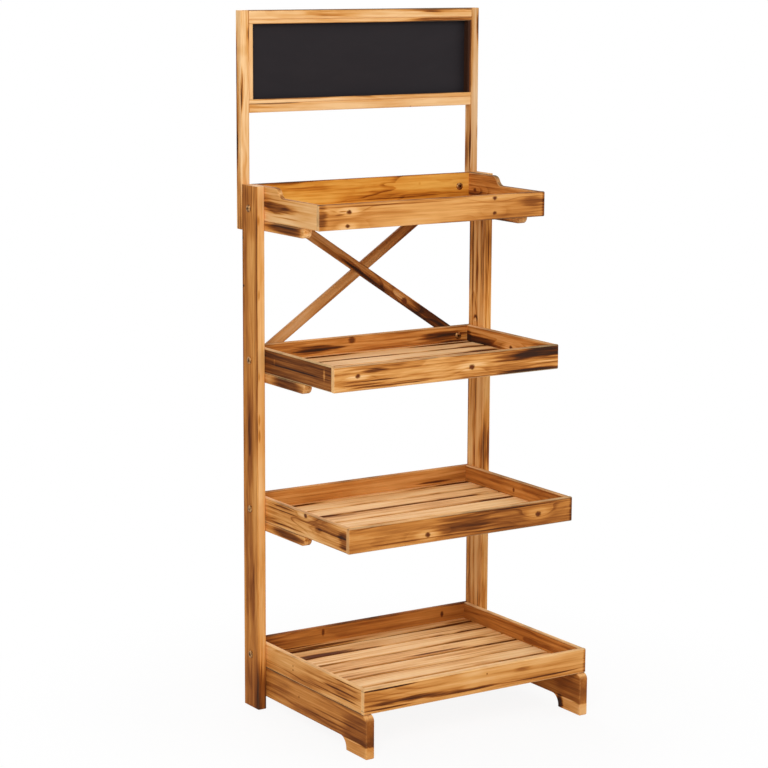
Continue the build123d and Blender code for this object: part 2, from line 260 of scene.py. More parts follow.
class TimberSettings(bpy.types.PropertyGroup):
    """Colours and sizes of the timber."""

    pale: colour_property("Pale", "Early wood that the torch hardly touched", srgb(247, 202, 146))
    honey: colour_property("Honey", "Wood warmed by the torch", srgb(224, 161, 90))
    amber: colour_property("Amber", "Wood browned by the torch", srgb(196, 126, 56))
    brown: colour_property("Brown", "Scorched late wood", srgb(148, 84, 32))
    dark: colour_property("Dark", "Wood on the point of charring", srgb(98, 50, 18))
    char: colour_property("Char", "Burnt wood", srgb(58, 34, 22))
    knot: colour_property("Knot", "Heart of a knot", srgb(100, 48, 18))
    orange: colour_property("Orange", "Tint of the boards cut near the heart", srgb(255, 240, 165))
    grey: colour_property("Grey", "Tint of the boards that have dulled", srgb(228, 234, 255))
    slat_sap: colour_property("Slat sap", "Sapwood of the slats", srgb(254, 218, 166))
    slat_pale: colour_property("Slat pale", "Early wood of the slats", srgb(246, 202, 142))
    slat_honey: colour_property("Slat honey", "Warmed wood of the slats", srgb(226, 172, 108))
    slat_amber: colour_property("Slat amber", "Late wood of the slats", srgb(188, 128, 64))
    slat_brown: colour_property("Slat brown", "Scorched edges of the slats", srgb(90, 43, 8))
    # This sanded colour is also the colour of the painted highlight on the boards' upper faces
    sanded: colour_property("Sanded", "Bare wood on the sanded arrises", srgb(253, 207, 145))
    ring_gap: length_property("Ring gap", "Distance from one growth ring to the next", 4.5 * MM)
    wander: length_property("Wander", "How far a growth ring strays from a true circle", 5 * MM)
    arris: length_property("Arris", "Radius that softens the boards' edges", 0.9 * MM)
    rim: length_property("Rim", "Width of the scorched band along the boards' edges", 4 * MM)
    relief: length_property("Relief", "Height of the brushed grain", 0.25 * MM)


class SignSettings(bpy.types.PropertyGroup):
    """Colours of the chalkboard."""

    slate: colour_property("Slate", "Chalkboard paint", srgb(36, 32, 35))
    dust: colour_property("Dust", "Chalk dust left in the wiping marks", srgb(50, 46, 48))


class HardwareSettings(bpy.types.PropertyGroup):
    """Colours of the fasteners."""

    bright: colour_property("Bright", "Rubbed bronze on the high spots", srgb(192, 144, 92))
    dull: colour_property("Dull", "Browned bronze", srgb(104, 68, 38))


class StageSettings(bpy.types.PropertyGroup):
    """Camera, floor and lamps."""

    camera_place: FloatVectorProperty(name="Camera place", description="Where the camera stands",
                                      default=(-2.479158, -3.708542, 1.439821), subtype="TRANSLATION",
                                      unit="LENGTH", precision=4)
    yaw: angle_property("Yaw", "Turn of the view to the right of the depth axis", radians(32.94))
    pitch: angle_property("Pitch", "Tilt of the view above the horizon", radians(-10.269))
    roll: angle_property("Roll", "Lean of the camera about its line of sight", radians(0.281))
    lens: number_property("Lens", "Focal length for a 36 mm sensor, in millimetres", 112.917,
                          subtype="DISTANCE_CAMERA")
    floor: colour_property("Floor", "Floor and background", (1.0, 1.0, 1.0))
    sky: number_property("Sky", "Strength of the even light from all round", 0.4)
    key_power: power_property("Key power", "Lamp above the camera", 115.0)
    fill_power: power_property("Fill power", "Lamp at the front right", 30.0)
    back_power: power_property("Back power", "Lamp behind the stand", 60.0)


# How the boards and slats look


class Knot(NamedTuple):
    """A knot, in millimetres from the board's centre."""

    along: float
    across: float
    radius: float
    halo: float = 1.0      # how pale the wood round it is


class Burn(NamedTuple):
    """A scorched patch, or a pale one if its heat is below zero, in millimetres from the board's centre. Some
    patches are painted shade: in the sign's recess, at the slats' rear corners and gaps, under an arm and on
    a post's outer side.
    """

    along: float
    across: float
    half_length: float
    half_width: float
    heat: float
    through: float = 0.0
    half_depth: float = 1000.0
    ragged: float = 1.8
    fade: float = 1.0      # how soft its edge is: 0 is a clean line


class Look(NamedTuple):
    """How one board came out of the torch and the sanding."""

    toast: float = 0.42    # how far it is browned: 0 is pale and 1 is char
    figure: float = 0.7    # how strongly its grain shows
    knots: tuple = ()
    burns: tuple = ()
    arris: float = 0.5     # how bare its arrises are
    crest: float = 0.25    # how bare its upper faces are, partly sanding and partly painted highlight; below zero they are scorched, and in the sign's recess that darkening is painted shade
    ends: float = 0.0      # how bare its end grain is
    rim: float = 0.2       # how scorched its faces are along their long edges
    warmth: float = 0.0    # how orange it is; below zero it is dull
    swirl: float = 1.0     # how far its rings stray, against an even board


def line(along, across, half_length, heat):
    """A scorched streak along the grain; the streaks along the sign liners' inner edges are painted shade."""
    return Burn(along, across, half_length, LINE_HALF_WIDTH, heat)


def dot(along, across, radius, heat):
    """A small round mark."""
    return Burn(along, across, radius, radius, heat, ragged=DOT_RAGGED)


END_SCORCH = Burn(BOARD_END, 0, 7, 60, 0.3, ragged=0.8)
FOOT_BURNS = (
    line(0, RAIL_TOP, 600, 0.25), Burn(175, 2, 60, 32, 0.2, ragged=0.6),
    Burn(RAIL_END - 4, RAIL_TOP, 9, 7, -0.3, ragged=0.5),
    Burn(0, -RAIL_TOP, 3000, 20, -0.24, ragged=0.06, fade=0.15), line(165, -18, 36, -0.45),
    Burn(RAIL_END, -RAIL_TOP, 6, 20, -0.06, ragged=0.06, fade=0.2))

POST = Look(toast=0.34, figure=0.7, arris=0.12, rim=0.08)
RAIL = Look(toast=0.52, figure=0.5, arris=0.15, rim=0.12, burns=FOOT_BURNS)
TRAY = Look(arris=0.6, crest=0.4, ends=0.7, rim=0.35)
ARM = Look(toast=0.3, figure=0.6, arris=0.25, crest=0.1, burns=(Burn(42, 1, 60, 16, 0.45),))
BRACE = Look(toast=0.46, figure=0.6, arris=0.0, crest=0.0)
SIGN = Look(toast=0.12, figure=0.9, arris=0.3, crest=0.1, rim=0.1)

POST_SPOTS = tuple(Burn(height, POST_FRONT, 11, 5, 0.24, -4, 2.5) for height in (439, 299, 145, 64, 32))
POST_PATCHES = tuple(
    Burn(height, across, half_length, 22, heat, POST_OUTSIDE, 4)
    for height, across, half_length, heat in (
        (485, 0, 30, 0.2), (430, 8, 30, 0.14), (320, 0, 110, -0.06), (40, 4, 120, 0.16), (-272, 4, 80, 0.12)))
POST_EDGE = Burn(250, POST_FRONT, 420, 2, 0.25, POST_OUTSIDE, 2.5)
POST_STRIPES = tuple(
    line(height, across, half_length, gain * heat)
    for height, half_length, gain in ((-250, 260, 1.0), (60, 120, 1.0), (345, 115, 1.7))
    for across, heat in ((-24, 0.35), (-13, 0.3), (-6, -0.2), (2, 0.3), (9, -0.25), (17, 0.35), (22, 0.25)))
POST_FOOT = (Burn(-490, 0, 95, 200, 0.2, ragged=0.7), Burn(-490, POST_FRONT, 80, 8, 0.24, ragged=0.7))

LOOKS = {
    "left_post": POST._replace(
        toast=0.21, figure=0.6, warmth=0.15,
        # The first patch darkens the whole outer side: partly char, partly painted shade that keeps this side
        # darker than the front
        burns=(Burn(0, 0, 2000, 200, 0.27, POST_OUTSIDE, 3), *POST_PATCHES, *POST_SPOTS, POST_EDGE,
               *POST_FOOT, dot(403, -24, 3, 0.5), dot(313, -21, 3, 0.5))),
    "right_post": POST._replace(
        toast=0.3, figure=1.3, arris=0.5, warmth=0.35,
        burns=(Burn(52, 0, 130, 60, -0.07), Burn(-250, 0, 170, 60, -0.16), Burn(440, 8, 50, 30, 0.22),
               Burn(325, 0, 95, 60, 0.16), Burn(325, 3, 60, 9, 0.25), Burn(-40, POST_FRONT, 40, 20, 0.12),
               *POST_STRIPES, dot(213, -3, 8, 0.5), dot(210, -3, 4.5, -0.65), dot(218, -3, 3, 0.3))),
    "left_base_rail": RAIL._replace(
        burns=FOOT_BURNS + (Burn(20, -6, 120, 10, 0.12), line(60, -2, 90, 0.2), line(90, 9, 80, 0.2),
                            dot(-30, 15, 2.5, 0.3))),
    "right_base_rail": RAIL._replace(
        toast=0.46, burns=FOOT_BURNS + (Burn(141, -30, 13, 16, 0.8, ragged=0.5),)),
    "top_tray_front": TRAY._replace(
        toast=0.33, figure=0.5, crest=-0.1, arris=0.15,
        knots=(Knot(134, 17, 4.5, 0.2), Knot(134, -11, 4, 0.3), Knot(-187, 8, 4.5), Knot(-190, -17, 4)),
        burns=(Burn(-170, 0, 120, 40, 0.11), Burn(-246, 2, 14, 30, 0.3), Burn(-200, 10, 11, 1.5, 0.4),
               Burn(-206, 4, 12, 1.4, 0.3), Burn(180, 0, 100, 34, 0.16), Burn(224, 6, 34, 12, 0.22),
               line(-90, 18, 150, 0.3), END_SCORCH)),
    "top_tray_back": TRAY._replace(
        toast=0.27, figure=1.1, warmth=1.0, crest=-0.3, arris=0.05, swirl=2.5,
        burns=(line(60, -9, 80, 0.3), line(150, -7, 60, 0.3), line(-60, -12, 60, 0.2), dot(124, 16, 3, 0.3))),
    "top_tray_left_side": TRAY._replace(
        toast=0.2, crest=-0.25, arris=0.1, ends=0.9,
        burns=(Burn(-30, -4, 54, 13, 0.48), Burn(24, -4, 30, 9, 0.2), line(20, -20, 75, 0.3),
               Burn(-75, 6, 40, 20, 0.18))),
    "top_tray_right_side": TRAY._replace(
        toast=0.47, crest=-0.35, arris=0.35, knots=(Knot(-92, -1, 4.5, 0.2),),
        burns=(Burn(-92, -8, 40, 10, 0.2),)),
    "upper_tray_front": TRAY._replace(
        toast=0.39, figure=1.1, knots=(Knot(-200, 4, 4.5), Knot(50, -2, 5.5)),
        burns=(Burn(222, 14, 76, 14, 0.6, ragged=1.2), Burn(140, 11, 70, 10, 0.25),
               Burn(190, 0, 90, 60, 0.14), Burn(205, -6, 60, 3, -0.25), Burn(180, -20, 85, 4, 0.45),
               line(-150, -18, 110, 0.5), line(-190, -13, 50, 0.4), line(-150, -7, 75, 0.4),
               line(-90, -15, 60, 0.35), Burn(-165, 12, 30, 5, 0.35))),
    "upper_tray_back": TRAY._replace(
        toast=0.46,
        burns=(Burn(-105, 5, 60, 8, 0.5), Burn(-130, -2, 50, 5, 0.25), Burn(-31, 15, 9, 9, 0.36, ragged=0.8),
               Burn(185, 6, 55, 10, 0.4), Burn(205, -8, 40, 6, 0.35))),
    "upper_tray_left_side": TRAY._replace(
        toast=0.72, figure=0.6, arris=0.9, crest=0.9, warmth=-0.5,
        burns=(Burn(115, 5, 4, 13, -0.3, ragged=0.6), Burn(-62, 3, 3, 9, -0.12, ragged=0.6),
               line(30, -2, 120, 0.45))),
    "upper_tray_right_side": TRAY._replace(
        toast=0.45, figure=0.7, knots=(Knot(10, -2, 4.5),),
        burns=(Burn(-105, -8, 70, 16, 0.5), Burn(-136, 3, 12, 14, 0.35))),
    "lower_tray_front": TRAY._replace(
        toast=0.45, figure=0.5, arris=0.45, crest=0.8, ends=0.35,
        knots=(Knot(170, 0, 5.5), Knot(-80, -8, 5)),
        burns=(Burn(5, 2, 75, 22, 0.3), Burn(150, 0, 150, 60, 0.16), line(60, -16, 60, 0.35),
               line(-110, -14, 90, 0.3), line(140, 19, 110, 0.45), END_SCORCH)),
    "lower_tray_back": TRAY._replace(
        toast=0.42, figure=0.55, crest=0.2, arris=0.4, burns=(Burn(168, -3, 45, 3, 0.4),)),
    "lower_tray_left_side": TRAY._replace(
        toast=0.36, figure=0.9, arris=0.45, swirl=2.5, knots=(Knot(24, 18, 5),),
        burns=(line(-62, 10, 60, 0.45), line(-57, 18, 55, 0.4), line(-33, -16, 85, 0.4),
               Burn(115, 3, 60, 3, 0.35), Burn(160, -3, 20, 22, 0.3), Burn(68, -1, 14, 10, 0.2))),
    "lower_tray_right_side": TRAY._replace(
        toast=0.47, figure=0.5, burns=(Burn(0, 4, 4, 5, 0.4, ragged=0.4),)),
    "bottom_tray_front": TRAY._replace(
        toast=0.32, figure=0.6, crest=0.9, arris=0.8,
        burns=(line(-200, 20, 70, 0.8), Burn(-150, -8, 100, 5, 0.65), Burn(-20, -13, 110, 3, 0.5),
               line(-220, -17, 60, 0.5), line(130, -14, 130, 0.45), Burn(100, 8, 26, 4, 0.25),
               dot(20, 11, 2, 0.4), END_SCORCH)),
    "bottom_tray_back": TRAY._replace(
        toast=0.51, figure=0.45, crest=0.0, arris=0.1,
        burns=(Burn(186, 7, 4, 7, 0.4, ragged=0.5), Burn(-96, 12, 4, 8, 0.3, ragged=0.5),
               Burn(-240, 0, 60, 30, 0.12))),
    "bottom_tray_left_side": TRAY._replace(
        toast=0.29, crest=0.7, arris=0.7,
        burns=(line(148, 20, 55, 0.5), Burn(130, 4, 85, 16, 0.3), line(100, -10, 90, 0.4),
               line(120, 2, 70, 0.3), dot(-48, 5, 2, 0.45), dot(-48, -3, 2, 0.45))),
    "bottom_tray_right_side": TRAY._replace(toast=0.46, figure=0.5, crest=0.9),
    "top_tray_left_arm": ARM._replace(
        burns=(Burn(30, 2, 70, 12, 0.42), Burn(ARM_END, 0, 16, 30, -0.25, ragged=0.3))),
    "top_tray_right_arm": ARM._replace(
        # The dark patch along the lower edge is painted shade under the arm
        toast=0.33, warmth=-0.6, burns=(Burn(28, -10, 56, 5, 0.9, ragged=1.0),)),
    "upper_tray_left_arm": ARM._replace(warmth=-0.5, burns=(Burn(38, 0, 60, 30, 0.54, ragged=0.8),)),
    "falling_brace": BRACE._replace(
        toast=0.33, warmth=-0.8, knots=(Knot(117, 0, 6),),
        burns=(Burn(200, 0, 95, 24, 0.55), Burn(60, 6, 110, 8, 0.3), Burn(-50, 7, 120, 5, 0.35),
               line(60, -10, 220, 0.12))),
    "rising_brace": BRACE._replace(
        toast=0.39, figure=0.5, warmth=-1.0,
        burns=(Burn(230, 0, 140, 60, 0.18), Burn(-240, 0, 110, 60, -0.16))),
    "left_sign_upright": SIGN._replace(
        toast=0.22, figure=1.4, arris=0.1,
        burns=(Burn(-90, 0, 110, 60, -0.2, SIGN_FRONT, 8), Burn(120, 0, 100, 60, 0.12),
               Burn(58, -7, 42, 5, 0.5, SIGN_FRONT, 4), Burn(5, -9, 70, 3, 0.3, SIGN_FRONT, 3),
               Burn(0, -9, 260, 5, 0.5, -SIGN_FRONT, 6), Burn(-57, -9, 80, 5, 0.4, -SIGN_FRONT, 6),
               Burn(130, -2, 14, 9, 0.15), Burn(160, 7, 14, 2.5, 0.25))),
    "right_sign_upright": SIGN._replace(
        toast=0.13, warmth=-0.7, arris=0.1,
        burns=(Burn(0, -9, 300, 3, 0.14), Burn(-88, -9, 45, 3, 0.45, 6, 7),
               Burn(-45, -9, 80, 2.6, 0.35, SIGN_FRONT, 3), Burn(-75, -9, 50, 3, 0.3, SIGN_FRONT, 4),
               Burn(165, 9, 50, 5, 0.8, SIGN_FRONT, 8), Burn(-39, 9, 20, 4, 0.5, SIGN_FRONT, 8))),
    "sign_top_rail": SIGN._replace(
        crest=-0.6, burns=(line(0, 8, 400, 0.3), Burn(175, 6, 110, 4, 0.45), line(200, 2, 60, 0.25))),
    "sign_bottom_rail": SIGN._replace(toast=0.1, burns=(line(-200, 8, 60, 0.5), dot(108, -8, 2, 0.5))),
    # Top liner: the darker lower edge, deepest on the right, is painted shade over the recessed chalkboard
    "sign_liner_top": SIGN._replace(
        toast=0.18, burns=(line(0, -4, 600, 0.4), Burn(190, -1, 90, 6, 0.55), Burn(215, -4, 60, 3, 0.5))),
    # Bottom liner: the darker upper face and edge against the chalkboard are painted shade in the recess
    "sign_liner_bottom": SIGN._replace(
        crest=-0.7, burns=(line(120, 4, 160, 0.3), Burn(-150, 4, 130, 3, 0.7))),
    "sign_liner_left": SIGN._replace(toast=0.06, arris=0.6),
    # Right liner: dark all over and darkest along its inner edge, as painted shade inside the recess
    "sign_liner_right": SIGN._replace(
        toast=0.7, arris=0.0, burns=(Burn(40, 0, 60, 20, 0.2), Burn(0, -4, 600, 5, 0.6, ragged=0.6))),
}

# How far each tray's slats are browned at the least, and their patches, which are partly scorch and partly
# painted shade at the rear corners and along the gaps
SLATS = {
    "top": (0.0, ()),
    "upper": (-0.26, (
        Burn(190, 120, 55, 13, 1.0), Burn(208, 72, 50, 13, 1.0), Burn(200, 18, 40, 11, 1.0),
        Burn(-110, 120, 100, 11, 1.0), Burn(-60, 70, 220, 4, 0.6))),
    "lower": (-0.02, (
        Burn(210, 151, 45, 6, 0.7), Burn(15, 46, 190, 5, 0.35), Burn(205, -3, 60, 7, 0.7))),
    "bottom": (0.07, (
        Burn(-130, 172, 140, 10, 0.8), Burn(-175, 122, 100, 10, 0.75), Burn(-170, 74, 60, 10, 0.6),
        Burn(60, 20, 80, 5, 0.5), Burn(-175, 192, 100, 18, 0.6), Burn(205, 176, 45, 6, 0.5))),
}


def look_of(node, kind, chance):
    """The look of a board; one without an entry of its own gets a tone and a scorched patch by chance."""
    low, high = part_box(node)
    reach = max(high - low) / 2 / MM
    along = chance.uniform(-PATCH_REACH, PATCH_REACH) * reach
    across = chance.uniform(-PATCH_ACROSS, PATCH_ACROSS)
    sizes = (chance.uniform(*span) for span in (PATCH_LENGTHS, PATCH_WIDTHS, PATCH_HEATS))
    patch = Burn(along, across, *sizes)
    toast = kind.toast + chance.uniform(-TOAST_SPREAD, TOAST_SPREAD)
    return LOOKS.get(node, kind._replace(toast=toast, burns=kind.burns + (patch,)))


# Shader trees


class Nodes:
    """The nodes of one shader tree. An input is given as a socket to link or as a plain value to set."""

    def __init__(self, tree):
        self.tree = tree

    def feed(self, sockets, inputs):
        """Links or sets the sockets that the inputs name."""
        for key, value in inputs.items():
            if isinstance(value, bpy.types.NodeSocket):
                self.tree.links.new(value, sockets[key])
            else:
                sockets[key].default_value = value

    def put(self, kind, inputs=None, **settings):
        """A new node with its settings made and its inputs fed."""
        made = self.tree.nodes.new(f"ShaderNode{kind}")
        for name, value in settings.items():
            setattr(made, name, value)
        self.feed(made.inputs, inputs or {})
        return made

    def group(self, name, inputs):
        """The outputs of a shared effect that is placed in this tree."""
        return self.put("Group", inputs, node_tree=bpy.data.node_groups[name]).outputs

    def calc(self, operation, *values):
        return self.put("Math", dict(enumerate(values)), operation=operation).outputs[0]

    def plus(self, *values):
        return reduce(partial(self.calc, "ADD"), values)

    def times(self, *values):
        return reduce(partial(self.calc, "MULTIPLY"), values)

    def most(self, *values):
        return reduce(partial(self.calc, "MAXIMUM"), values)

    def minus(self, first, second):
        return self.calc("SUBTRACT", first, second)

    def over(self, first, second):
        return self.calc("DIVIDE", first, second)

    def weighed(self, values, shares):
        """The sum of the values that the shares name, each less its middle and times its share."""
        return self.plus(*(self.times(self.minus(values[label], middle), share)
                           for label, (middle, share) in shares.items()))

    def vector(self, operation, *values):
        made = self.put("VectorMath", dict(enumerate(values)), operation=operation)
        return made.outputs["Value" if operation in ("LENGTH", "DOT_PRODUCT") else "Vector"]

    def parts(self, vector):
        return self.put("SeparateXYZ", {0: vector}).outputs

    def joined(self, *parts):
        return self.put("CombineXYZ", dict(enumerate(parts))).outputs[0]

    def eased(self, value, span, ends=WHOLE):
        """The value taken smoothly from the span to the two ends."""
        labels = ("Value", "From Min", "From Max", "To Min", "To Max")
        inputs = dict(zip(labels, (value, *span, *ends)))
        return self.put("MapRange", inputs, interpolation_type="SMOOTHSTEP").outputs["Result"]

    def noise(self, position, waves):
        """Soft noise from 0 to 1."""
        stretched = self.vector("MULTIPLY", position, waves[:3])
        inputs = {"Vector": stretched, "Scale": 1.0, "Detail": waves.detail, "Roughness": waves.roughness}
        return self.put("TexNoise", inputs).outputs["Fac"]

    def swing(self, position, waves):
        """Soft noise about zero."""
        return self.minus(self.noise(position, waves), NOISE_MIDDLE)

    def drawn(self, number):
        """What chance draws for a whole number."""
        return self.put("TexWhiteNoise", {"W": number}, noise_dimensions="1D").outputs

    def toned(self, level, colours, tones):
        """The colour at a level from 0 to 1; the tones say at which level each named colour lies."""
        ramp = self.put("ValToRGB", {"Fac": level})
        steps = ramp.color_ramp.elements
        while len(steps) < len(tones):
            steps.new(1.0)
        for step, (name, place) in zip(steps, tones.items()):
            step.position = place
            step.color = (*getattr(colours, name), 1)
        return ramp.outputs["Color"]

    def blended(self, share, first, second, way="MIX"):
        inputs = {MIX_SHARE: share, MIX_FIRST: first, MIX_SECOND: second}
        return self.put("Mix", inputs, data_type="RGBA", blend_type=way).outputs[MIX_RESULT]

    def true_normal(self):
        return self.put("NewGeometry").outputs["True Normal"]

    def object_place(self):
        return self.put("TexCoord").outputs["Object"]

    def board_place(self, centre, along, across):
        """Object coordinates turned to the board: X along the grain, Y across its face, Z through it."""
        turn = Matrix((along, across, along.cross(across))).transposed().to_euler()
        inputs = {"Vector": self.object_place(), "Location": centre, "Rotation": turn}
        return self.put("Mapping", inputs, vector_type="TEXTURE").outputs["Vector"]


SOCKET_TYPES = {
    "Colour": "NodeSocketColor",
    **dict.fromkeys(("Position", "Centre", "Half Size", "Pith", "Along"), "NodeSocketVector"),
}


class Effect(Nodes):
    """A new node group: given holds what goes in, and result takes what comes out."""

    def __init__(self, name, inputs, outputs):
        super().__init__(bpy.data.node_groups.new(name, "ShaderNodeTree"))
        for way, labels in (("INPUT", inputs), ("OUTPUT", outputs)):
            for label in labels:
                kind = SOCKET_TYPES.get(label, "NodeSocketFloat")
                self.tree.interface.new_socket(label, in_out=way, socket_type=kind)
        self.given = self.tree.nodes.new("NodeGroupInput").outputs
        self.result = self.tree.nodes.new("NodeGroupOutput").inputs


class Finish(Nodes):
    """A new material: shader holds the inputs of its Principled shader, with the plain values set."""

    def __init__(self, name, specular, **settings):
        self.material = bpy.data.materials.new(name)
        self.material.use_nodes = True
        super().__init__(self.material.node_tree)
        self.shader = self.tree.nodes["Principled BSDF"].inputs
        self.feed(self.shader, {"Specular IOR Level": specular, **settings})

    def add_bump(self, height, relief):
        inputs = {"Height": height, "Strength": BUMP_STRENGTH, "Distance": relief}
        self.feed(self.shader, {"Normal": self.put("Bump", inputs).outputs["Normal"]})


# Effects that several materials share


def growth_rings_group():
    """Growth rings round a pith line, with the streaks and fibres that run along the board."""
    nodes = Effect("growth_rings", ["Position", "Seed", "Pith", "Ring Gap", "Wander", "Swell"], GRAIN)
    given = nodes.given
    place = nodes.vector("ADD", given["Position"], nodes.joined(nodes.times(given["Seed"], SEED_STRIDE)))
    from_pith = nodes.vector("SUBTRACT", given["Position"], given["Pith"])
    radius = nodes.vector("LENGTH", nodes.vector("MULTIPLY", from_pith, RING_STRETCH))
    stray = nodes.times(nodes.swing(place, BEND_WAVES), given["Wander"], STRAY_GAIN)
    count = nodes.over(nodes.plus(radius, stray, given["Swell"]), given["Ring Gap"])
    share = nodes.calc("FRACT", count)
    weight = nodes.drawn(nodes.plus(nodes.calc("FLOOR", count), given["Seed"]))["Value"]
    late_wood = nodes.times(
        nodes.eased(share, RING_RISE), nodes.eased(share, RING_END, FADE_OUT),
        nodes.eased(weight, WHOLE, RING_WEIGHT),
        nodes.eased(nodes.noise(place, PATCH_WAVES), NOISE_SPAN, PATCH_SHARE))
    nodes.feed(nodes.result, {
        "Late Wood": late_wood,
        "Streak": nodes.eased(nodes.noise(place, STREAK_WAVES), STREAK_SPAN),
        "Fibre": nodes.eased(nodes.noise(place, FIBRE_WAVES), FIBRE_SPAN),
        "Heat": nodes.noise(place, HEAT_WAVES)})


def knot_group():
    """A knot through the board: its dark core, the pale wood round it, and the swell that bends the rings."""
    nodes = Effect("knot", ["Position", "Centre", "Radius", "Paleness", "Swell", "Core", "Halo"],
                   ["Swell", "Core", "Halo"])
    given = nodes.given
    away = nodes.vector("SUBTRACT", given["Position"], given["Centre"])

    def reach(squeeze):
        """How many radii away a place is, with the board squeezed along the grain."""
        size = nodes.vector("LENGTH", nodes.vector("MULTIPLY", away, (squeeze, 1, 0)))
        return nodes.over(size, given["Radius"])

    rough = nodes.times(nodes.swing(given["Position"], KNOT_WAVES), KNOT_ROUGHNESS)
    core = nodes.eased(nodes.plus(reach(CORE_SQUEEZE), rough), CORE_SPAN, FADE_OUT)
    halo = nodes.minus(nodes.eased(reach(HALO_SQUEEZE), HALO_SPAN, FADE_OUT), core)
    hump = nodes.eased(reach(SWELL_SQUEEZE), SWELL_SPAN, FADE_OUT)
    nodes.feed(nodes.result, {
        "Swell": nodes.plus(given["Swell"], nodes.times(hump, given["Radius"], SWELL_HEIGHT)),
        "Core": nodes.most(given["Core"], core),
        "Halo": nodes.most(given["Halo"], nodes.times(halo, given["Paleness"]))})


def burn_group():
    """A patch that the torch dwelt on, or a pale one that it missed, ragged along the grain; some patches are
    painted shade instead.
    """
    nodes = Effect("burn", ["Position", "Centre", "Half Size", "Heat", "Ragged", "Fade", "Burn"], ["Burn"])
    given = nodes.given
    away = nodes.vector("SUBTRACT", given["Position"], given["Centre"])
    reach = nodes.vector("LENGTH", nodes.vector("DIVIDE", away, given["Half Size"]))
    edge = nodes.plus(reach, nodes.times(nodes.swing(given["Position"], RAGGED_WAVES), given["Ragged"]))
    inner = nodes.minus(PATCH_EDGE, nodes.times(given["Fade"], PATCH_FADE))
    patch = nodes.times(nodes.eased(edge, (inner, PATCH_EDGE), FADE_OUT), given["Heat"])
    nodes.feed(nodes.result, {"Burn": nodes.plus(given["Burn"], patch)})


def sanded_edges_group():
    """Masks of what the sanding left bare, the arrises, upper edge and end grain, and of a scorched edge. On
    upper faces the paleness is partly painted highlight, and in the sign's recess the darkening is painted
    shade.
    """
    nodes = Effect("sanded_edges", ["Along", "Arris", "Crest", "Ends"], ["Bare", "Scorch", "End"])
    given = nodes.given
    normal = nodes.true_normal()
    upright = nodes.parts(normal)["Z"]
    size = nodes.parts(nodes.vector("ABSOLUTE", normal))
    arris = nodes.times(
        nodes.eased(nodes.most(*size), ARRIS_SPAN, FADE_OUT), given["Arris"],
        nodes.eased(upright, UNDER_SPAN, UNDER_SHARE), nodes.eased(size["Z"], LEVEL_SPAN, LEVEL_SHARE))
    top = nodes.eased(upright, CREST_SPAN)
    crest = nodes.times(top, nodes.most(given["Crest"], 0.0))
    scorch = nodes.times(top, nodes.most(nodes.times(given["Crest"], -1.0), 0.0))
    endways = nodes.calc("ABSOLUTE", nodes.vector("DOT_PRODUCT", normal, given["Along"]))
    end = nodes.eased(endways, END_SPAN)
    bare = nodes.most(arris, crest, nodes.times(end, given["Ends"]))
    worn = nodes.eased(nodes.noise(nodes.object_place(), WEAR_WAVES), WEAR_SPAN, WEAR_SHARE)
    nodes.feed(nodes.result, {"Bare": nodes.times(bare, worn), "Scorch": scorch, "End": end})


def scorched_rim_group():
    """A mask that rises towards a face's long edges, broken up along the grain."""
    nodes = Effect("scorched_rim", ["Position", "Half Width", "Band"], ["Rim"])
    given = nodes.given
    inset = nodes.minus(given["Half Width"], nodes.calc("ABSOLUTE", nodes.parts(given["Position"])["Y"]))
    near = nodes.eased(nodes.over(inset, given["Band"]), WHOLE, FADE_OUT)
    broken = nodes.eased(nodes.noise(given["Position"], RIM_WAVES), NOISE_SPAN)
    nodes.feed(nodes.result, {"Rim": nodes.times(near, broken)})


def torched_timber_group():
    """Colour, roughness and height of a board that was torched and brushed."""
    timber = bpy.context.scene.stand_timber
    nodes = Effect("torched_timber",
                   [*GRAIN, "Toast", "Figure", "Burn", "Core", "Halo", "Bare", "End", "Warmth"],
                   ["Colour", "Roughness", "Height"])
    given = nodes.given
    blotch = nodes.times(nodes.minus(given["Heat"], NOISE_MIDDLE), nodes.times(given["Figure"], BLOTCH))
    glow = nodes.plus(given["Toast"], given["Burn"], blotch)
    gain = nodes.times(given["Figure"], nodes.eased(glow, GAIN_SPAN, GAIN_SHARE),
                       nodes.eased(given["End"], WHOLE, END_GAIN))
    lines = nodes.times(nodes.weighed(given, TORCHED_GRAIN), gain)
    level = nodes.plus(glow, lines, nodes.times(given["Halo"], HALO_TONE))
    colour = nodes.toned(level, timber, TORCHED_TONES)
    cold = nodes.times(given["Warmth"], -1.0)
    for share, tint in ((given["Warmth"], timber.orange), (cold, timber.grey)):
        colour = nodes.blended(share, colour, (*tint, 1), "MULTIPLY")
    colour = nodes.blended(given["Core"], colour, (*timber.knot, 1))
    # Sanded wood and the painted highlight on upper faces, a little weaker on the darkest wood
    worn = nodes.times(given["Bare"], nodes.eased(level, WORN_SPAN, WORN_SHARE))
    nodes.feed(nodes.result, {
        "Colour": nodes.blended(worn, colour, (*timber.sanded, 1)),
        "Roughness": nodes.eased(level, TORCHED_SPAN, TORCHED_ROUGHNESS),
        "Height": nodes.weighed(given, TORCHED_HEIGHT)})


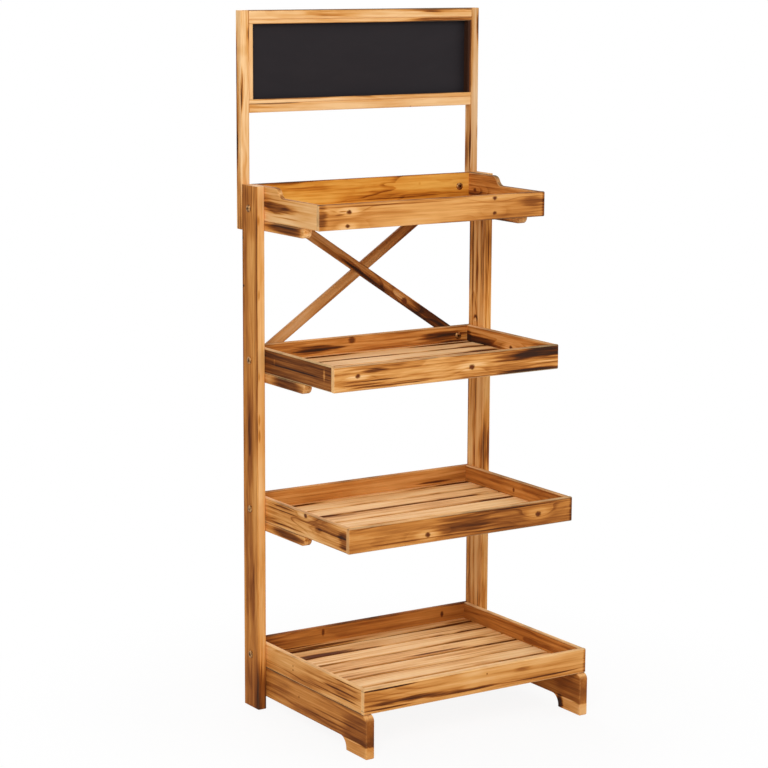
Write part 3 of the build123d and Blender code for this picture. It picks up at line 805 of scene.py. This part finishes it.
def planed_slat_group():
    """Colour and roughness of a slat that was planed, then lightly torched, with painted shade on the flanks
    that face into the gaps.
    """
    timber = bpy.context.scene.stand_timber
    nodes = Effect("planed_slat", [*GRAIN, "Toast", "Rim"], ["Colour", "Roughness"])
    given = nodes.given
    # Painted shade on the slat flanks that face into the gaps
    sideways = nodes.calc("ABSOLUTE", nodes.parts(nodes.true_normal())["Y"])
    level = nodes.plus(given["Toast"], nodes.weighed(given, PLANED_GRAIN), given["Rim"],
                       nodes.times(nodes.eased(sideways, SLAT_FLANK_SHADE_SPAN), SLAT_FLANK_SHADE))
    share = nodes.over(nodes.minus(level, SAPWOOD), 1.0 - SAPWOOD)
    nodes.feed(nodes.result, {
        "Colour": nodes.toned(share, timber, PLANED_TONES),
        "Roughness": nodes.eased(level, WHOLE, PLANED_ROUGHNESS)})


GROUPS = (growth_rings_group, knot_group, burn_group, sanded_edges_group, scorched_rim_group,
          torched_timber_group, planed_slat_group)


def make_groups():
    """Builds each shared effect once."""
    for make in GROUPS:
        if make.__name__.removesuffix("_group") not in bpy.data.node_groups:
            make()


# Materials


def half_width(node, across):
    """How far a CAD node reaches from its middle along the line across its face."""
    places = [vertex.co.dot(across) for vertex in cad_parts[node].data.vertices]
    return (max(places) - min(places)) / 2


def burned(finish, position, burns):
    """The heat that all the patches of a board add up to, scorch and painted shade together."""
    heat = 0.0
    for patch in burns:
        centre = Vector((patch.along, patch.across, patch.through)) * MM
        half_size = Vector((patch.half_length, patch.half_width, patch.half_depth)) * MM
        heat = finish.group("burn", {
            "Position": position, "Centre": centre, "Half Size": half_size, "Heat": patch.heat,
            "Ragged": patch.ragged, "Fade": patch.fade, "Burn": heat})["Burn"]
    return heat


def torched_material(node, along, across, kind):
    """Torched timber for one board, with that board's own rings, knots and burns."""
    timber = bpy.context.scene.stand_timber
    chance = Random(node)
    look = look_of(node, kind, chance)
    finish = Finish(f"torched_{node}", specular=0.1)
    low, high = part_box(node)
    position = finish.board_place((low + high) / 2, along, across)
    knots = {"Swell": 0.0, "Core": 0.0, "Halo": 0.0}
    for knot in look.knots:
        made = finish.group("knot", {
            "Position": position, "Centre": (knot.along * MM, knot.across * MM, 0),
            "Radius": knot.radius * MM, "Paleness": knot.halo, **knots})
        knots = {label: made[label] for label in knots}
    rim = finish.group("scorched_rim", {
        "Position": position, "Half Width": half_width(node, across), "Band": timber.rim})["Rim"]
    edges = finish.group("sanded_edges", {
        "Along": along, "Arris": look.arris, "Crest": look.crest, "Ends": look.ends})
    burn = finish.plus(burned(finish, position, look.burns), finish.times(rim, look.rim), edges["Scorch"])
    depth = chance.choice((-1, 1)) * chance.uniform(*PITH_DEPTHS)
    pith = (chance.uniform(-PITH_ALONG, PITH_ALONG), chance.uniform(-PITH_ACROSS, PITH_ACROSS), depth)
    rings = finish.group("growth_rings", {
        "Position": position, "Seed": chance.uniform(*BOARD_SEEDS), "Pith": pith,
        "Ring Gap": timber.ring_gap, "Wander": timber.wander * look.swirl, "Swell": knots["Swell"]})
    board = finish.group("torched_timber", {
        **{label: rings[label] for label in GRAIN}, "Toast": look.toast, "Figure": look.figure,
        "Burn": burn, "Core": knots["Core"], "Halo": knots["Halo"], "Bare": edges["Bare"],
        "End": edges["End"], "Warmth": look.warmth})
    finish.feed(finish.shader, {"Base Color": board["Colour"], "Roughness": board["Roughness"]})
    finish.add_bump(board["Height"], timber.relief)
    return finish.material


def planed_material(node, toast, burns):
    """Planed slats, each with its own rings and tone; toast is how far they are browned at the least. Their
    rims and patches are partly scorch and partly painted shade in the gaps and at the rear corners.
    """
    timber = bpy.context.scene.stand_timber
    finish = Finish(f"planed_{node}", specular=0.08)
    low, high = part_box(node)
    middle = (low + high) / 2
    reach = (high.x - low.x) / 2
    rows = sorted((box[0].y, box[1].y) for box in solid_boxes(node))
    width = rows[1][1] - rows[1][0]
    pitch = rows[2][0] - rows[1][0]
    first_row = Vector((middle.x, rows[1][0] - pitch, middle.z))
    x, y, z = finish.parts(finish.board_place(first_row, X_AXIS, Y_AXIS))
    number = finish.calc("FLOOR", finish.over(y, pitch))
    across = finish.minus(y, finish.plus(finish.times(number, pitch), width / 2))
    draw = finish.drawn(finish.plus(number, Random(node).uniform(*SLAT_SEEDS)))
    drawn = finish.parts(draw["Color"])
    own_place = finish.joined(finish.plus(x, finish.times(drawn["X"], SLAT_STRIDE)), across, z)
    rim = finish.group("scorched_rim", {
        "Position": own_place, "Half Width": width / 2, "Band": SLAT_BAND * timber.rim})["Rim"]
    # Painted shade in the gaps: the scorched rims darken further row by row towards the back and towards the
    # slats' ends
    rim = finish.times(
        rim, finish.eased(draw["Value"], WHOLE, RIM_BY_CHANCE),
        finish.eased(number, (0.0, len(rows)), RIM_AND_GAP_SHADE_BY_ROW),
        finish.eased(finish.calc("ABSOLUTE", x), (RIM_AND_GAP_SHADE_END_START * reach, reach), RIM_AND_GAP_SHADE_BY_END))
    # Patches on the slats: partly scorch, partly painted shade at the rear corners and along the gaps
    burn = burned(finish, finish.board_place(middle, X_AXIS, Y_AXIS), burns)
    shifted = finish.plus(across, finish.eased(drawn["X"], WHOLE, SLAT_SHIFT))
    rings = finish.group("growth_rings", {
        "Position": finish.joined(x, shifted, z), "Seed": finish.times(drawn["Y"], SLAT_RINGS),
        "Pith": SLAT_PITH, "Ring Gap": timber.ring_gap, "Wander": timber.wander, "Swell": 0.0})
    slat = finish.group("planed_slat", {
        **{label: rings[label] for label in GRAIN}, "Rim": finish.plus(rim, burn),
        "Toast": finish.eased(drawn["Z"], WHOLE, (toast, toast + SLAT_SPREAD))})
    finish.feed(finish.shader, {"Base Color": slat["Colour"], "Roughness": slat["Roughness"]})
    finish.add_bump(rings["Fibre"], SLAT_RELIEF * timber.relief)
    return finish.material


def chalkboard_material():
    """Matt slate paint with wiping marks and a little chalk dust."""
    sign = bpy.context.scene.stand_sign
    finish = Finish("chalkboard_paint", specular=0.12)
    place = finish.object_place()
    speck = finish.noise(place, SPECK_WAVES)
    dust = finish.times(finish.eased(finish.noise(place, WIPE_WAVES), WIPE_SPAN),
                        finish.eased(speck, SPECK_SPAN, SPECK_SHARE))
    colour = finish.blended(finish.times(dust, DUST_SHARE), (*sign.slate, 1), (*sign.dust, 1))
    roughness = finish.eased(dust, WHOLE, CHALKBOARD_ROUGHNESS)
    finish.feed(finish.shader, {"Base Color": colour, "Roughness": roughness})
    finish.add_bump(speck, SPECK_RELIEF)
    return finish.material


def bronze_material():
    """Browned bronze, brighter where hands and spanners have rubbed it."""
    hardware = bpy.context.scene.stand_hardware
    finish = Finish("browned_bronze", specular=0.5, Metallic=1.0)
    rubbed = finish.eased(finish.noise(finish.object_place(), RUB_WAVES), NOISE_SPAN)
    colour = finish.blended(rubbed, (*hardware.dull, 1), (*hardware.bright, 1))
    roughness = finish.eased(rubbed, WHOLE, BRONZE_ROUGHNESS)
    finish.feed(finish.shader, {"Base Color": colour, "Roughness": roughness})
    return finish.material


# Pieces


def is_round(face, turns):
    """True for a facet of an arc, which meets its neighbours on both sides at a slight angle."""
    return sum(FLAT_ANGLE < abs(turns[edge]) < SHARP_ANGLE for edge in face.edges) > 1


def merged_copy(node):
    """A CAD node's mesh with its loose triangles merged into whole faces."""
    shape = bmesh.new()
    shape.from_mesh(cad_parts[node].data)
    bmesh.ops.remove_doubles(shape, verts=shape.verts, dist=MERGE_DISTANCE)
    bmesh.ops.dissolve_limit(shape, angle_limit=FLAT_ANGLE, verts=shape.verts, edges=shape.edges)
    return shape


def rounded(shape, edges, radius, steps):
    """Rounds the edges and returns the new faces."""
    return bmesh.ops.bevel(shape, geom=edges, offset=radius, offset_type="OFFSET", segments=steps,
                           profile=0.5, affect="EDGES", material=-1, clamp_overlap=True)["faces"]


def softened_copy(node):
    """A copy of a CAD node with its outer edges rounded; bores and notches keep their edges."""
    shape = merged_copy(node)
    turns = {edge: edge.calc_face_angle_signed(0.0) for edge in shape.edges}
    walls = {face for edge, turn in turns.items() if turn < -BORE_TURN for face in edge.link_faces}
    outer = [edge for edge, turn in turns.items()
             if turn > SHARP_ANGLE and not walls.intersection(edge.link_faces)]
    for face in shape.faces:
        face.smooth = is_round(face, turns)
    for face in rounded(shape, outer, bpy.context.scene.stand_timber.arris, ROUND_STEPS):
        face.smooth = True
    return shape


def in_scene(name, data):
    """A new object that holds the data, at the origin."""
    made = bpy.data.objects.new(name, data)
    bpy.context.scene.collection.objects.link(made)
    return made


def object_from(shape, name, material):
    """A new object with the shape as its mesh."""
    mesh = bpy.data.meshes.new(name)
    shape.to_mesh(mesh)
    shape.free()
    mesh.materials.append(material)
    return in_scene(name, mesh)


def piece_from(shape, name, material, slot, *nodes):
    """A finished piece that stands for its CAD nodes."""
    piece = object_from(shape, name, material)
    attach(piece, BODY)
    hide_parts(*nodes)


def solid_boxes(node):
    """The lowest and highest corner of each separate solid in a CAD node."""
    shape = merged_copy(node)
    left = set(shape.verts)
    boxes = []
    while left:
        fresh = [left.pop()]
        solid = []
        while fresh:
            vert = fresh.pop()
            solid.append(vert.co.copy())
            linked = {edge.other_vert(vert) for edge in vert.link_edges} & left
            left -= linked
            fresh.extend(linked)
        boxes.append((Vector(map(min, *solid)), Vector(map(max, *solid))))
    shape.free()
    return sorted(boxes, key=lambda box: tuple(box[0]))


def of_kind(kind, items):
    """The items that are vertices, edges or faces, as the kind says."""
    return [item for item in items if isinstance(item, kind)]


def turn_outline(shape, outline):
    """Turns an outline of (radius, height) points about the Z axis."""
    points = [shape.verts.new((radius, 0, height)) for radius, height in outline]
    edges = [shape.edges.new(pair) for pair in zip(points, points[1:])]
    bmesh.ops.spin(shape, geom=points + edges, cent=(0, 0, 0), axis=Z_AXIS, angle=2 * pi, steps=TURN_STEPS,
                   use_merge=True)
    bmesh.ops.remove_doubles(shape, verts=shape.verts, dist=MERGE_DISTANCE)


def sink_recess(shape, mouth, depth, narrowing):
    """Closes the open top of a turned head round a recess whose mouth is a loop of vertices."""
    rim = [edge for edge in shape.edges if edge.is_boundary]
    lip = list({edge for vert in mouth for edge in vert.link_edges})
    bmesh.ops.bridge_loops(shape, edges=rim + lip)
    sunk = bmesh.ops.extrude_edge_only(shape, edges=lip)["geom"]
    floor = of_kind(bmesh.types.BMVert, sunk)
    bmesh.ops.scale(shape, vec=(narrowing, narrowing, 1), verts=floor)
    bmesh.ops.translate(shape, vec=(0, 0, -depth), verts=floor)
    bmesh.ops.contextual_create(shape, geom=of_kind(bmesh.types.BMEdge, sunk))
    bmesh.ops.recalc_face_normals(shape, faces=shape.faces)


def bolt(length):
    """A domed bolt with a hexagon socket; its top is at the origin and its shank runs down."""
    turns = (step * pi / 2 / DOME_STEPS for step in range(DOME_STEPS + 1))
    dome = [(BOLT_FLAT + (BOLT_HEAD - BOLT_FLAT) * sin(turn), (BOLT_RISE - BOLT_RIM) * (cos(turn) - 1))
            for turn in turns]
    under = [(BOLT_HEAD, -BOLT_RISE), (BOLT_SHANK, -BOLT_RISE)]
    thread = [(BOLT_SHANK - step % 2 * THREAD_DEPTH, THREAD_LENGTH - length - step * THREAD_PITCH / 2)
              for step in range(2 * int(THREAD_LENGTH / THREAD_PITCH))]
    shape = bmesh.new()
    turn_outline(shape, dome + under + thread + [(BOLT_TIP, -length), (0, -length)])
    mouth = bmesh.ops.create_circle(shape, segments=HEXAGON, radius=RECESS_RADIUS)["verts"]
    sink_recess(shape, mouth, SOCKET_DEPTH, narrowing=1.0)
    return shape


def screw(length):
    """A countersunk screw with a crossed recess; its top is at the origin and its point is down."""
    shape = bmesh.new()
    neck = SCREW_LAND + SCREW_HEAD - SCREW_SHANK
    turn_outline(shape, [(SCREW_HEAD, 0), (SCREW_HEAD, -SCREW_LAND), (SCREW_SHANK, -neck),
                         (SCREW_SHANK, SCREW_POINT - length), (0, -length)])
    mouth = bmesh.ops.create_circle(shape, segments=CROSS_POINTS, radius=RECESS_RADIUS)["verts"]
    half_step = Matrix.Rotation(pi / CROSS_POINTS, 3, "Z")
    bmesh.ops.rotate(shape, verts=mouth, cent=(0, 0, 0), matrix=half_step)
    bmesh.ops.scale(shape, vec=(CROSS_WAIST, CROSS_WAIST, 1), verts=mouth[1::3])
    sink_recess(shape, mouth, CROSS_DEPTH, CROSS_TAPER)
    return shape


def nut(length):
    """A hexagon nut with softened corners; its outer face is at the origin."""
    shape = bmesh.new()
    bmesh.ops.create_circle(shape, segments=HEXAGON, radius=NUT_RADIUS)
    bmesh.ops.create_circle(shape, segments=TURN_STEPS, radius=NUT_BORE)
    bmesh.ops.bridge_loops(shape, edges=shape.edges[:])
    raised = bmesh.ops.extrude_face_region(shape, geom=shape.faces[:])["geom"]
    bmesh.ops.translate(shape, vec=(0, 0, -length), verts=of_kind(bmesh.types.BMVert, raised))
    bmesh.ops.recalc_face_normals(shape, faces=shape.faces)
    wall = (NUT_RADIUS + NUT_BORE) / 2
    corners = [edge for edge in shape.edges
               if edge.calc_face_angle(0) > SHARP_ANGLE and min(v.co.xy.length for v in edge.verts) > wall]
    rounded(shape, corners, NUT_ROUND, NUT_ROUND_STEPS)
    return shape


def fasteners(node, make, outward):
    """One shape with a fastener wherever the CAD node has one; outward gives the way its head faces."""
    whole = bmesh.new()
    for low, high in solid_boxes(node):
        middle = (low + high) / 2
        out = outward(middle)
        length = abs((high - low).dot(out))
        turn = out.to_track_quat("Z", "Y").to_matrix().to_4x4()
        one = make(length)
        bmesh.ops.transform(one, matrix=Matrix.Translation(middle + out * length / 2) @ turn, verts=one.verts)
        mesh = bpy.data.meshes.new("one")
        one.to_mesh(mesh)
        one.free()
        whole.from_mesh(mesh)
        bpy.data.meshes.remove(mesh)
    for face in whole.faces:
        face.smooth = True
    for edge in whole.edges:
        edge.smooth = edge.calc_face_angle(0) < SHARP_ANGLE
    return whole


def torched_board(node, along, across, kind):
    """One torched board with softened arrises."""
    material = torched_material(node, along, across, kind)
    piece_from(softened_copy(node), f"{node}_board", material, "torched_wood", node)


# Stage


def seen_directly(nodes):
    """One for rays from the camera, and for what metal and glass show of the background."""
    path = nodes.put("LightPath").outputs
    return nodes.most(path["Is Camera Ray"], path["Is Glossy Ray"], path["Is Transmission Ray"])


def floor_material(colour):
    """A white floor that still takes the stand's shadow."""
    material = bpy.data.materials.new("floor_paper")
    material.use_nodes = True
    nodes = Nodes(material.node_tree)
    nodes.tree.nodes.clear()
    matt = nodes.put("BsdfDiffuse", {"Color": (*colour, 1)}).outputs[0]
    glow = nodes.put("Emission", {"Color": (*colour, 1), "Strength": 1.0}).outputs[0]
    away = nodes.vector("LENGTH", nodes.object_place())
    share = nodes.times(seen_directly(nodes), nodes.eased(away, SHADOW_SPAN, SHADOW_GLOW))
    mixed = nodes.put("MixShader", {0: share, 1: matt, 2: glow}).outputs[0]
    nodes.put("OutputMaterial", {"Surface": mixed})
    return material


def lay_floor(colour):
    shape = bmesh.new()
    bmesh.ops.create_grid(shape, x_segments=1, y_segments=1, size=FLOOR_SIZE)
    object_from(shape, "floor", floor_material(colour))


def white_world(sky, colour):
    """Even light from all round, seen as plain white."""
    world = bpy.data.worlds.new("white_room")
    bpy.context.scene.world = world
    world.use_nodes = True
    nodes = Nodes(world.node_tree)
    strength = nodes.eased(seen_directly(nodes), WHOLE, (sky, 1.0))
    nodes.feed(world.node_tree.nodes["Background"].inputs, {"Color": (*colour, 1), "Strength": strength})


def hang_lamp(name, power, size, place):
    """A soft square lamp that faces the middle of the stand."""
    light = bpy.data.lights.new(name, "AREA")
    light.energy = power
    light.size = size
    lamp = in_scene(name, light)
    lamp.location = place
    lamp.rotation_euler = (Vector(LAMP_TARGET) - lamp.location).to_track_quat("-Z", "Y").to_euler()


def set_camera(stage):
    """The camera at the photograph's viewing angle."""
    camera = in_scene("camera", bpy.data.cameras.new("camera"))
    camera.data.lens = stage.lens
    camera.data.clip_end = VIEW_DEPTH
    aim = Matrix.Rotation(-stage.yaw, 4, "Z") @ Matrix.Rotation(stage.pitch + pi / 2, 4, "X")
    aim = aim @ Matrix.Rotation(stage.roll, 4, "Z")
    camera.matrix_world = Matrix.Translation(stage.camera_place) @ aim
    bpy.context.scene.camera = camera


# Operators


class STAND_OT_posts(bpy.types.Operator):
    """Finish the two posts"""

    bl_idname = "stand.posts"
    bl_label = "Posts"

    def execute(self, context):
        for side in SIDES:
            torched_board(f"{side}_post", Z_AXIS, -Y_AXIS, POST)
        return {"FINISHED"}


class STAND_OT_base_rails(bpy.types.Operator):
    """Finish the two base rails and their feet"""

    bl_idname = "stand.base_rails"
    bl_label = "Base rails"

    def execute(self, context):
        for side in SIDES:
            torched_board(f"{side}_base_rail", -Y_AXIS, Z_AXIS, RAIL)
        return {"FINISHED"}


class STAND_OT_tray_boards(bpy.types.Operator):
    """Finish the fronts, backs and sides of the four trays"""

    bl_idname = "stand.tray_boards"
    bl_label = "Tray boards"

    def execute(self, context):
        for tray in TRAYS:
            for end in ("front", "back"):
                torched_board(f"{tray}_tray_{end}", X_AXIS, Z_AXIS, TRAY)
            for side in SIDES:
                torched_board(f"{tray}_tray_{side}_side", -Y_AXIS, Z_AXIS, TRAY)
        return {"FINISHED"}


class STAND_OT_arms(bpy.types.Operator):
    """Finish the arms under the three upper trays"""

    bl_idname = "stand.arms"
    bl_label = "Arms"

    def execute(self, context):
        for tray in TRAYS[:-1]:
            for side in SIDES:
                torched_board(f"{tray}_tray_{side}_arm", -Y_AXIS, Z_AXIS, ARM)
        return {"FINISHED"}


class STAND_OT_slats(bpy.types.Operator):
    """Finish the slats and the cleats that carry them"""

    bl_idname = "stand.slats"
    bl_label = "Slats and cleats"

    def execute(self, context):
        for tray in TRAYS:
            names = [f"{tray}_tray_slats"] + [f"{tray}_tray_{side}_cleat" for side in SIDES]
            material = planed_material(names[0], *SLATS[tray])
            for node in names:
                piece_from(softened_copy(node), f"{node}_planed", material, "planed_wood", node)
        return {"FINISHED"}


class STAND_OT_braces(bpy.types.Operator):
    """Finish the two crossed braces"""

    bl_idname = "stand.braces"
    bl_label = "Braces"

    def execute(self, context):
        for node, fall in (("falling_brace", -1), ("rising_brace", 1)):
            low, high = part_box(node)
            along = Vector((high.x - low.x, 0, fall * (high.z - low.z))).normalized()
            torched_board(node, along, -along.cross(Y_AXIS), BRACE)
        return {"FINISHED"}


class STAND_OT_sign_frame(bpy.types.Operator):
    """Finish the sign's uprights, rails and liners"""

    bl_idname = "stand.sign_frame"
    bl_label = "Sign frame"

    def execute(self, context):
        for side in SIDES:
            torched_board(f"{side}_sign_upright", Z_AXIS, X_AXIS, SIGN)
            torched_board(f"sign_liner_{side}", Z_AXIS, X_AXIS, SIGN)
        for level in ("top", "bottom"):
            torched_board(f"sign_{level}_rail", X_AXIS, Z_AXIS, SIGN)
            torched_board(f"sign_liner_{level}", X_AXIS, Z_AXIS, SIGN)
        return {"FINISHED"}


class STAND_OT_chalkboard(bpy.types.Operator):
    """Paint the chalkboard panel"""

    bl_idname = "stand.chalkboard"
    bl_label = "Chalkboard"

    def execute(self, context):
        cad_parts["chalkboard_panel"].data.materials[0] = chalkboard_material()
        return {"FINISHED"}


class STAND_OT_fasteners(bpy.types.Operator):
    """Finish the bolts, nuts and screws"""

    bl_idname = "stand.fasteners"
    bl_label = "Fasteners"

    def execute(self, context):
        material = bronze_material()
        for node, make, outward in (
            ("tray_bolts", bolt, lambda place: X_AXIS if place.x > 0 else -X_AXIS),
            ("frame_screws", screw, lambda place: -X_AXIS if place.x > 0 else X_AXIS),
            ("brace_bolts", bolt, lambda place: -Y_AXIS),
            ("brace_nuts", nut, lambda place: Y_AXIS),
            ("sign_screws", screw, lambda place: Y_AXIS),
        ):
            piece_from(fasteners(node, make, outward), f"{node}_turned", material, "steel", node)
        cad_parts["tray_nuts"].data.materials[0] = material
        return {"FINISHED"}


class STAND_OT_stage(bpy.types.Operator):
    """Lay the floor, hang the lamps and set the camera"""

    bl_idname = "stand.stage"
    bl_label = "Stage"

    def execute(self, context):
        stage = context.scene.stand_stage
        context.scene.view_settings.view_transform = "Standard"
        white_world(stage.sky, stage.floor)
        lay_floor(stage.floor)
        for name, (size, place) in LAMPS.items():
            hang_lamp(name, getattr(stage, f"{name}_power"), size, place)
        set_camera(stage)
        return {"FINISHED"}


OPERATORS = (
    STAND_OT_posts,
    STAND_OT_base_rails,
    STAND_OT_tray_boards,
    STAND_OT_arms,
    STAND_OT_slats,
    STAND_OT_braces,
    STAND_OT_sign_frame,
    STAND_OT_chalkboard,
    STAND_OT_fasteners,
    STAND_OT_stage,
)


class STAND_PT_sidebar(bpy.types.Panel):
    """Lists the stand's operators"""

    bl_idname = "STAND_PT_sidebar"
    bl_label = "Display Stand"
    bl_space_type = "VIEW_3D"
    bl_region_type = "UI"
    bl_category = "Stand"

    def draw(self, context):
        for operator in OPERATORS:
            self.layout.operator(operator.bl_idname)


SETTINGS = {
    "stand_timber": TimberSettings,
    "stand_sign": SignSettings,
    "stand_hardware": HardwareSettings,
    "stand_stage": StageSettings,
}


def register():
    for kind in (*SETTINGS.values(), *OPERATORS, STAND_PT_sidebar):
        bpy.utils.register_class(kind)
    for name, kind in SETTINGS.items():
        setattr(bpy.types.Scene, name, PointerProperty(type=kind))


def unregister():
    for name in SETTINGS:
        delattr(bpy.types.Scene, name)
    for kind in (STAND_PT_sidebar, *reversed(OPERATORS), *SETTINGS.values()):
        bpy.utils.unregister_class(kind)


def main():
    register()
    make_groups()
    for operator in OPERATORS:
        family, name = operator.bl_idname.split(".")
        getattr(getattr(bpy.ops, family), name)()


if __name__ == "__main__":
    main()
